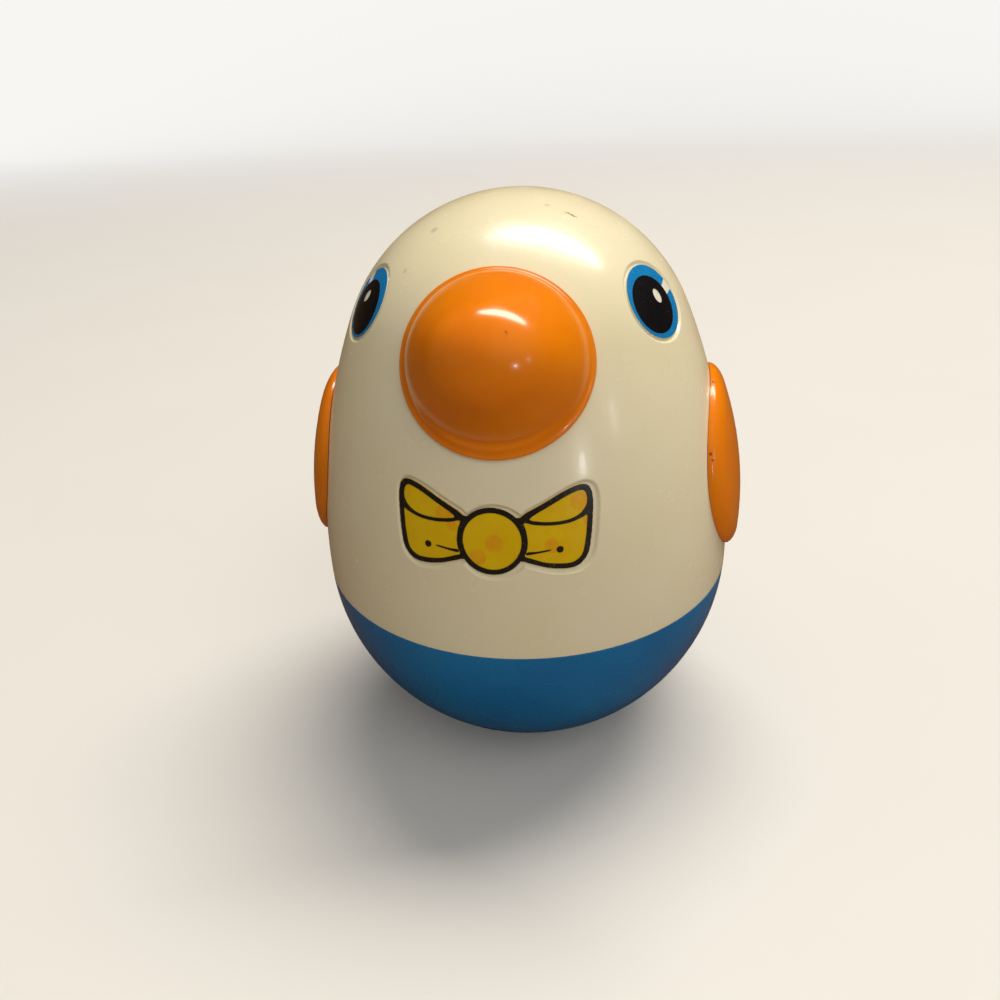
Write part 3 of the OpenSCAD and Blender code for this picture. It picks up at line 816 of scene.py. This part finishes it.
def makeBeak():
    lipR, lipT, gap, tipR = beak["lipR"], beak["lipT"], beak["gap"], beak["tipR"]
    coneR = lipR - beak["lipW"]
    tipZ = beak["reach"] - tipR
    under = [(r, crownDrop(r) + gap) for r in (*beak["under"], lipR - beak["footIn"])]
    lipZ = crownDrop(lipR)
    inward, upward = beak["footRound"]
    side = [(lipR - inward, lipZ + gap + upward), (lipR, lipZ + beak["sideFrom"])]
    top, edgeR = lipZ + lipT, beak["edgeR"]
    side += arc((lipR - edgeR, top - edgeR), edgeR, 0, beak["edgeTurn"], beak["edgeCuts"])
    start = Vector((coneR, crownDrop(coneR) + lipT - beak["sink"]))
    slant = Vector((-coneR, tipZ - start.y))
    lean = math.pi - math.atan2(slant.y, -slant.x) - math.asin(tipR / slant.length)
    lean += math.radians(beak["lean"])
    touch = Vector((tipR * math.sin(lean), tipZ - tipR * math.cos(lean)))
    reach = (touch - start).length / 3
    bulge = start + Vector(beak["bulge"]) * reach
    aim = touch - Vector((math.cos(lean), math.sin(lean))) * reach
    flank = []  # slightly full, from the lip up to the ball of the tip
    for i in range(1, beak["flankCuts"] + 1):
        t = i / beak["flankCuts"]
        s = 1 - t
        spot = start * s ** 3 + bulge * 3 * t * s ** 2 + aim * 3 * t * t * s + touch * t ** 3
        flank.append(tuple(spot))
    tip = arc((0, tipZ), tipR, math.degrees(lean) - 90, 90, beak["tipCuts"])
    tip[-1] = (0, beak["reach"])
    obj = spinProfile("beakCone", under + side + [tuple(start)] + flank + tip, beak["steps"])
    middle, right, up, out = placeOnEgg(0, beak["height"], beak["tilt"])
    x, y, w = getSpots(obj).T
    drop = crownDrop(np.minimum(np.hypot(x, y), lipR))
    tipShare = smoothStep(*beak["tipFrom"], w)
    x = x * beak["stretch"][0] * (1 + beak["widen"] * tipShare)
    y = y * beak["stretch"][1] * (1 - beak["lower"] * tipShare) - beak["drop"]
    y = y + beak["coneRise"] * smoothStep(*beak["coneFrom"], w - drop)
    spots = np.array(middle) + np.outer(x, right) + np.outer(y, up)
    settle = (sitOnEgg(spots, out, 0) - spots) @ np.array(out) - drop
    w = w + settle * smoothStep(*beak["settleFrom"], w - drop)
    putSpots(obj, spots + np.outer(w, out))
    smoothShade(obj, beak["crease"])
    dress(obj, orangePlastic("beakOrange", beak["marks"]), "toy", "orange_plastic", "beak")


makeBeak()
print("beak done")


# wings: padded shapes with a round front and a tail that points back
wing = {
    "rise": 27.0,
    "r": 23.6,
    "thick": 3.8,
    "acrossR": 46.0,
    "alongR": 95.0,
    "tail": (21.0, -14.5),
    "tailR": 6.5,
    "fillet": 4.2,
    "filletOver": 25.0,  # the fillet's share is taken of this radius
    "filletCuts": 9,
    "foot": 0.12,  # heights of the upright wall, as shares of the thickness
    "wall": 0.22,
    "topCuts": 12,
    "under": (0.8, 0.6, 0.4, 0.2),
    "draftH": 10.0,  # height of the flat draft, which is then bent to the shell
    "gap": 0.15,
    "points": 160,
    "circles": 241,  # how many the outline is drawn round, from the front to the tail
    "crease": 60,
    "marks": [((48.1, -7.5, 103.2), 0.5), ((47.3, -21.4, 90.4), 0.4), ((47.85, -21.85, 89.05), 0.35)],
}


def wingReach(turns):
    # distance from the middle to the outline, drawn round circles that shrink towards the tail
    shares = np.linspace(0, 1, wing["circles"])
    centres = np.outer(shares, wing["tail"])
    radii = wing["r"] + (wing["tailR"] - wing["r"]) * shares
    ways = np.column_stack([np.cos(turns), np.sin(turns)])
    along = ways @ centres.T
    off = radii ** 2 - (centres ** 2).sum(1) + along ** 2
    return (along + np.sqrt(np.maximum(off, 0))).max(1)


def growRing(scale, lift):
    # extrudes the picked ring, then draws it in and lifts it
    bpy.ops.mesh.extrude_edges_move(TRANSFORM_OT_translate={"value": (0, 0, lift * mm)})
    if scale != 1:
        bpy.ops.transform.resize(value=(scale, scale, 1), center_override=(0, 0, 0))


def growRings(rings):
    # a run of rings, each given by its scale and height, then closed at the middle
    size, height = 1.0, 0.0
    for scale, level in rings:
        growRing(scale / size, level - height)
        size, height = scale, level
    bpy.ops.mesh.merge(type="CENTER")


def wingRings():
    # an upright wall, a rounded edge, then in to the middle
    wall, cuts = wing["wall"], wing["filletCuts"]
    rings = [(1.0, wing["foot"]), (1.0, wall)]
    for i in range(1, cuts + 1):
        turn = i / cuts * math.pi / 2
        inward = wing["fillet"] / wing["filletOver"] * (1 - math.cos(turn))
        rings.append((1 - inward, wall + (1 - wall) * math.sin(turn)))
    last = rings[-1][0]
    rings += [(last * (1 - i / wing["topCuts"]), 1.0) for i in range(1, wing["topCuts"])]
    return [(scale, level * wing["draftH"]) for scale, level in rings]


def selectEdges(obj, test):
    # picks the edges whose two ends pass the test, and nothing else
    mesh = obj.data
    for parts in (mesh.vertices, mesh.polygons):
        parts.foreach_set("select", [False] * len(parts))
    for edge in mesh.edges:
        edge.select = all(test(mesh.vertices[v].co) for v in edge.vertices)


def makeWing(name, side, material, node):
    clearSelection()
    bpy.ops.mesh.primitive_circle_add(vertices=wing["points"], radius=wing["r"] * mm, location=(0, 0, 0))
    obj = bpy.context.object
    obj.name = name
    spots = getSpots(obj)
    turns = np.arctan2(spots[:, 1], spots[:, 0])
    spots[:, :2] = np.column_stack([np.cos(turns), np.sin(turns)]) * wingReach(turns)[:, None]
    putSpots(obj, spots)
    bpy.ops.object.mode_set(mode="EDIT")
    bpy.ops.mesh.select_mode(type="EDGE")
    bpy.ops.mesh.select_all(action="SELECT")
    growRings(wingRings())
    bpy.ops.object.mode_set(mode="OBJECT")
    selectEdges(obj, lambda spot: abs(spot.z) < weld)
    bpy.ops.object.mode_set(mode="EDIT")
    growRings([(scale, 0.0) for scale in wing["under"]])  # underside against the shell
    bpy.ops.mesh.select_all(action="SELECT")
    bpy.ops.mesh.remove_doubles(threshold=weld)
    bpy.ops.object.mode_set(mode="OBJECT")
    middle, right, up, out = placeOnEgg(90, widestZ + wing["rise"])
    x, y, level = getSpots(obj).T
    spots = np.array(middle) + np.outer(x, right) + np.outer(y, up)
    low = (sitOnEgg(spots, out, wing["gap"]) - spots) @ np.array(out)
    barrel = wing["acrossR"] - wing["alongR"] + np.sqrt(wing["alongR"] ** 2 - y ** 2)
    high = wing["thick"] - wing["acrossR"] + np.sqrt(barrel ** 2 - x ** 2)
    spots += np.outer(low + (high - low) * level / wing["draftH"], out)
    spots[:, 0] *= side
    putSpots(obj, spots)
    faceOut(obj)
    smoothShade(obj, wing["crease"])
    dress(obj, material, "toy", "orange_plastic", node)


wingOrange = orangePlastic("wingOrange", wing["marks"])
makeWing("wingLeft", 1, wingOrange, "wing_left")
makeWing("wingRight", -1, wingOrange, "wing_right")
print("wings done")


# labels: flat outlines, filled, cut into strips so that they bend, then laid in their recesses
def flatLabel(name, runs):
    curve = bpy.data.curves.new(name, "CURVE")
    curve.dimensions = "2D"
    curve.fill_mode = "BOTH"
    for run in runs:
        spline = curve.splines.new("POLY")
        spline.points.add(len(run) - 1)
        for point, spot in zip(spline.points, run):
            point.co = (spot[0] * mm, spot[1] * mm, 0, 1)
        spline.use_cyclic_u = True
    obj = bpy.data.objects.new(name, curve)
    bpy.context.scene.collection.objects.link(obj)
    pick(obj)
    bpy.ops.object.convert(target="MESH")
    return bpy.context.object


def layLabel(obj, place, top, thick, pitch):
    middle, right, up, out = place
    pick(obj)
    bpy.ops.object.mode_set(mode="EDIT")
    bpy.ops.mesh.select_all(action="SELECT")
    bpy.ops.mesh.remove_doubles(threshold=weld / 2)
    ways = (Vector((1, 0, 0)), Vector((0, 1, 0)))
    for way, reach, step in zip(ways, film["cutReach"], pitch):
        for i in range(int(-reach / step), int(reach / step) + 1):
            bpy.ops.mesh.select_all(action="SELECT")
            bpy.ops.mesh.bisect(plane_co=way * (i * step + film["cutShift"]) * mm, plane_no=way)
    bpy.ops.object.mode_set(mode="OBJECT")
    x, y, _ = getSpots(obj).T
    putSpots(obj, sitOnEgg(np.array(middle) + np.outer(x, right) + np.outer(y, up), out, -top))
    faceOut(obj)
    total = Vector((0, 0, 0))
    for face in obj.data.polygons:
        total += face.normal * face.area
    if total.dot(out) < 0:
        obj.data.flip_normals()
    applyModifier(obj, "SOLIDIFY", thickness=thick * mm, offset=-1)
    smoothShade(obj, film["crease"])


def bowFilmMaterial():
    material, tree, shader, place = startMaterial("bowFilm")
    broad = remap(tree, noise(tree, place, bow["cloudSize"]), *cloudBand)
    colour = blendColours(tree, broad, bow["yellow"], bow["yellowDeep"])
    soft = bow["spotSoft"]
    dots = largest(tree, [spotMask(tree, place, spot, size, soft) for spot, size in bow["spots"]])
    patchy = remap(tree, noise(tree, place, bow["fadeSize"]), *wearBand, *bow["spotShare"])
    faded = combine(tree, "MULTIPLY", dots, patchy)
    colour = blendColours(tree, faded, colour, bow["spotColour"])
    flecks = remap(tree, noise(tree, place, bow["fleckSize"], detail=2.0), *bow["fleckBand"])
    colour = blendColours(tree, flecks, colour, bow["fleckColour"])
    tree.links.new(colour, shader.inputs["Base Color"])
    roughen(tree, shader, noise(tree, place, bow["wearSize"]), *bow["rough"])
    shader.inputs["Specular IOR Level"].default_value = bow["shine"]
    addBump(tree, shader, noise(tree, place, bow["pitSize"], detail=2.0), *bow["bump"])
    return material


def outerBow(grow, ragged):
    # outline of the whole bow: the two halves with the knot standing proud between them
    slow, fast = bow["raggedWaves"]
    run = []
    for i in range(bow["turns"]):
        turn = math.tau * i / bow["turns"]
        way = Vector((math.cos(turn), math.sin(turn)))
        reach = bow["knotR"]
        for a, b in zip(bowRun, bowRun[1:] + bowRun[:1]):
            span = b - a
            cross = way[0] * span[1] - way[1] * span[0]
            if abs(cross) < tiny:
                continue
            k = (a[1] * way[0] - a[0] * way[1]) / -cross
            far = (a[0] * span[1] - a[1] * span[0]) / cross
            if 0 <= k <= 1 and far > 0:
                reach = max(reach, far)
        reach += grow + ragged * math.sin(slow * turn) * math.sin(fast * turn + 1)
        run.append(way * reach)
    return run


def makeBow():
    yellow = flatLabel("bowFilm", [outerBow(-bow["filmIn"], 0)])
    layLabel(yellow, bowPlace, film["top"], film["thick"], bow["pitch"])
    dress(yellow, bowFilmMaterial(), "toy", "yellow_film", "bow_film")
    runs = [outerBow(0, bow["ragged"]), ring((0, 0), bow["knotR"] - bow["lineW"], bow["knotCuts"])]
    for points in (bow["panel"], bow["loop"], bow["stroke"]):
        runs += [closedCurve(points), closedCurve(flipped(points))]
    for side in (1, -1):
        runs.append(ring((side * bow["dot"][0], bow["dot"][1]), bow["dotR"], bow["dotCuts"]))
    black = flatLabel("bowPrint", runs)
    layLabel(black, bowPlace, film["printTop"], film["printThick"], bow["pitch"])
    dress(black, printInk("bowInk"), "toy", "black_print", "bow_print")


makeBow()
print("bow tie done")


def openRing(centre, radius, side, ends):
    # points round a ring that is left open, mirrored for the other side
    start, end = ends
    run = []
    for i in range(eye["cuts"] + 1):
        t = math.radians(start + (end - start) * i / eye["cuts"])
        run.append(Vector((centre[0] + side * radius * math.cos(t), centre[1] + radius * math.sin(t))))
    return run


def makeEye(side, tag):
    middle, right, up, out = placeOnEgg(side * eye["turn"], eye["height"])
    roll = Matrix.Rotation(math.radians(eye["roll"][side]), 3, out)
    place = (middle, roll @ right, roll @ up, out)
    base = flatLabel("eyeFilm" + tag, [ring((0, 0), eye["r"], eye["cuts"])])
    layLabel(base, place, film["top"], film["thick"], eye["pitch"])
    dress(base, eyeFilmInk, "toy", "ivory_plastic", "eye_film_" + tag.lower())
    pupil = (-side * eye["pupilFront"], -eye["pupilDrop"])
    # the blue ring runs from its blunt upper end round to the lower one, and back under the pupil
    outer = openRing((0, 0), eye["r"], side, eye["ringOuter"])
    tip = Vector((side * eye["ringTip"][0], eye["ringTip"][1]))
    inner = openRing(pupil, eye["pupilR"] - eye["underPupil"], side, eye["ringInner"])
    iris = flatLabel("eyeIris" + tag, [outer + [tip] + inner])
    layLabel(iris, place, film["printTop"], film["printThick"], eye["pitch"])
    dress(iris, eyeBlueInk, "toy", "blue_print", "eye_iris_" + tag.lower())
    glint = (side * eye["glint"][0], eye["glint"][1])
    wide, tall = eye["glintSize"]
    runs = [ring(pupil, eye["pupilR"], eye["cuts"])]
    runs.append(ring(glint, wide, eye["glintCuts"], tall / wide, side * eye["glintLean"]))
    black = flatLabel("eyePupil" + tag, runs)
    lift = film["pupilLift"]
    layLabel(black, place, film["printTop"] - lift, film["printThick"] + lift, eye["pitch"])
    dress(black, eyeBlackInk, "toy", "black_print", "eye_pupil_" + tag.lower())


eyeFilmInk = printInk("eyeFilm")
eyeBlueInk = printInk("eyeBlue")
eyeBlackInk = printInk("eyeBlack")
makeEye(1, "Left")
makeEye(-1, "Right")
print("eyes done")


# pieces inside keep their solids and get their own finishes
inside = {
    "castIron": ["counterweight"],
    "brightSteel": [
        "weight_screws", "weight_washers", "chime_rod_1", "chime_rod_2", "chime_rod_3", "chime_rod_4",
        "bridge_screws", "hanger_pin", "link_pin", "clapper_rod", "beak_screw", "beak_washer",
        "wing_clips",
    ],
    "softBrass": ["clapper_link", "clapper_ball"],
    "greyPlastic": ["chime_plate", "chime_bridge"],
}
# colour, colour where tarnished, roughness and share of metal
insideLooks = {
    "castIron": ((0.10, 0.10, 0.105), (0.055, 0.05, 0.05), (0.45, 0.7), 0.8),
    "brightSteel": ((0.60, 0.61, 0.63), (0.48, 0.48, 0.49), (0.22, 0.4), 1.0),
    "softBrass": ((0.60, 0.42, 0.13), (0.48, 0.31, 0.09), (0.24, 0.42), 1.0),
    "greyPlastic": ((0.38, 0.38, 0.36), (0.33, 0.33, 0.31), (0.35, 0.5), 0.0),
}
for look, names in inside.items():
    finish = innerMetal(look, *insideLooks[look])
    for name in names:
        cadNodes[name].data.materials.clear()
        cadNodes[name].data.materials.append(finish)
print("inside finished")


# plain pale studio, in metres but for its clouds and its fade
studio = {
    "floor": (0.70, 0.69, 0.672),
    "floorWorn": 0.985,
    "floorRough": 0.85,
    "cloudSize": 90,
    "size": 9.0,
    "shift": (0, -2.5, 0),
    "widen": 4,
    "sweepR": 1.0,
    "sweepCuts": 12,
    "wallH": 3.0,
    "crease": 60,
    "shade": (0.12, 0.065, 0.03),
    "bounceCut": 0.8,  # share of the light thrown back on the toy that takes the shade's colour
    "fadeFrom": (0, 2500, 0),
    "fade": (1700, 1300),
}
# colour and strength of the room as light, in the gloss and as seen
room = {
    "light": ((1, 0.97, 0.92), 0.33),
    "mirrored": ((1, 0.86, 0.70), 0.07),
    "seen": ((0.93, 0.92, 0.90), 1.0),
}
# each lamp stands off in its way from this place, and its distance and size are in metres
lampAim = (0, 0, 0.1)
lamps = {
    "keyLamp": {
        "way": (0.20, 0.29, 0.94),
        "far": 3.0,
        "shape": "ELLIPSE",
        "size": (3.0, 0.8),
        "power": 95.0,
        "colour": (1, 0.93, 0.82),
        "mirrored": True,
    },
    "windowLamp": {
        "way": (0.62, -0.78, 0.065),
        "far": 1.0,
        "shape": "RECTANGLE",
        "size": (0.05, 0.075),
        "power": 0.42,
        "colour": (0.92, 0.96, 1),
        "mirrored": True,
    },
    "doorLamp": {
        "way": (0.851, -0.497, 0.167),
        "far": 1.0,
        "shape": "RECTANGLE",
        "size": (0.07, 0.09),
        "power": 0.15,
        "colour": (0.92, 0.96, 1),
        "mirrored": True,
    },
    "fillLamp": {
        "way": (0.45, -0.62, 0.64),
        "far": 1.3,
        "shape": "RECTANGLE",
        "size": (1.2, 1.0),
        "power": 5.2,
        "colour": (1, 0.97, 0.93),
        "mirrored": False,
    },
}


def addLamp(name, look):
    clearSelection()
    back = Vector(look["way"]).normalized()
    place = Vector(lampAim) + back * look["far"]
    bpy.ops.object.light_add(type="AREA", location=place)
    lamp = bpy.context.object
    lamp.name = name
    lamp.data.shape = look["shape"]
    lamp.data.size, lamp.data.size_y = look["size"]
    lamp.data.energy = look["power"]
    lamp.data.color = look["colour"]
    lamp.visible_glossy = look["mirrored"]
    if look["shape"] == "ELLIPSE":  # its long side runs along X
        across = Vector((1, 0, 0)) - back * back.x
    else:
        across = Vector((0, 0, 1)).cross(back)
    across.normalize()
    turn = Matrix((across, back.cross(across), back)).transposed().to_4x4()
    lamp.matrix_world = Matrix.Translation(place) @ turn


def paleGround():
    material, tree, shader, place = startMaterial("paleGround")
    shader.inputs["Roughness"].default_value = studio["floorRough"]
    soft = remap(tree, noise(tree, place, studio["cloudSize"]), *wearBand)
    worn = tuple(studio["floorWorn"] * c for c in studio["floor"])
    tree.links.new(blendColours(tree, soft, studio["floor"], worn), shader.inputs["Base Color"])
    shade = tree.nodes.new("ShaderNodeBsdfDiffuse")  # what the gloss and the undersides of the toy see
    shade.inputs["Color"].default_value = (*studio["shade"], 1)
    glow = tree.nodes.new("ShaderNodeEmission")  # far off, the ground fades into the room
    glow.inputs["Color"].default_value = (*room["seen"][0], 1)
    path = tree.nodes.new("ShaderNodeLightPath").outputs
    bounced = combine(tree, "MULTIPLY", path["Is Diffuse Ray"], studio["bounceCut"])
    dark = combine(tree, "MAXIMUM", path["Is Glossy Ray"], bounced)
    near = spotMask(tree, place, studio["fadeFrom"], *studio["fade"])
    far = combine(tree, "MULTIPLY", combine(tree, "SUBTRACT", 1, near), path["Is Camera Ray"])
    mixed = mixShaders(tree, dark, shader.outputs["BSDF"], shade.outputs["BSDF"])
    faded = mixShaders(tree, far, mixed, glow.outputs["Emission"])
    tree.links.new(faded, tree.nodes["Material Output"].inputs["Surface"])
    return material


def makeGround():
    clearSelection()
    bpy.ops.mesh.primitive_plane_add(size=studio["size"], location=studio["shift"])
    ground = bpy.context.object
    ground.name = "paleGround"
    bpy.ops.transform.resize(value=(studio["widen"], 1, 1))
    bpy.ops.object.transform_apply(location=False, rotation=False, scale=True)
    bpy.ops.object.mode_set(mode="EDIT")
    bpy.ops.mesh.select_mode(type="EDGE")
    bpy.ops.mesh.select_all(action="DESELECT")
    bpy.ops.object.mode_set(mode="OBJECT")
    selectEdges(ground, lambda spot: spot.y > 0)  # the back edge
    bpy.ops.object.mode_set(mode="EDIT")
    turns = [math.pi / 2 * i / studio["sweepCuts"] for i in range(studio["sweepCuts"] + 1)]
    for a, b in zip(turns, turns[1:]):  # swept up into a backdrop
        step = Vector((0, math.sin(b) - math.sin(a), math.cos(a) - math.cos(b))) * studio["sweepR"]
        bpy.ops.mesh.extrude_edges_move(TRANSFORM_OT_translate={"value": step})
    bpy.ops.mesh.extrude_edges_move(TRANSFORM_OT_translate={"value": (0, 0, studio["wallH"])})
    bpy.ops.object.mode_set(mode="OBJECT")
    smoothShade(ground, studio["crease"])
    ground.data.materials.append(paleGround())


def makeRoom():
    world = bpy.data.worlds.new("paleRoom")
    bpy.context.scene.world = world
    world.use_nodes = True
    tree = world.node_tree
    tones = {}
    for name, (colour, strength) in room.items():
        node = tree.nodes.new("ShaderNodeBackground")
        node.inputs["Color"].default_value = (*colour, 1)
        node.inputs["Strength"].default_value = strength
        tones[name] = node.outputs["Background"]
    path = tree.nodes.new("ShaderNodeLightPath").outputs
    shiny = mixShaders(tree, path["Is Glossy Ray"], tones["light"], tones["mirrored"])
    mixed = mixShaders(tree, path["Is Camera Ray"], shiny, tones["seen"])
    tree.links.new(mixed, tree.nodes["World Output"].inputs["Surface"])


makeGround()
for name, look in lamps.items():
    addLamp(name, look)
makeRoom()
bpy.context.scene.view_settings.view_transform = "Standard"
print("studio set")

clearSelection()
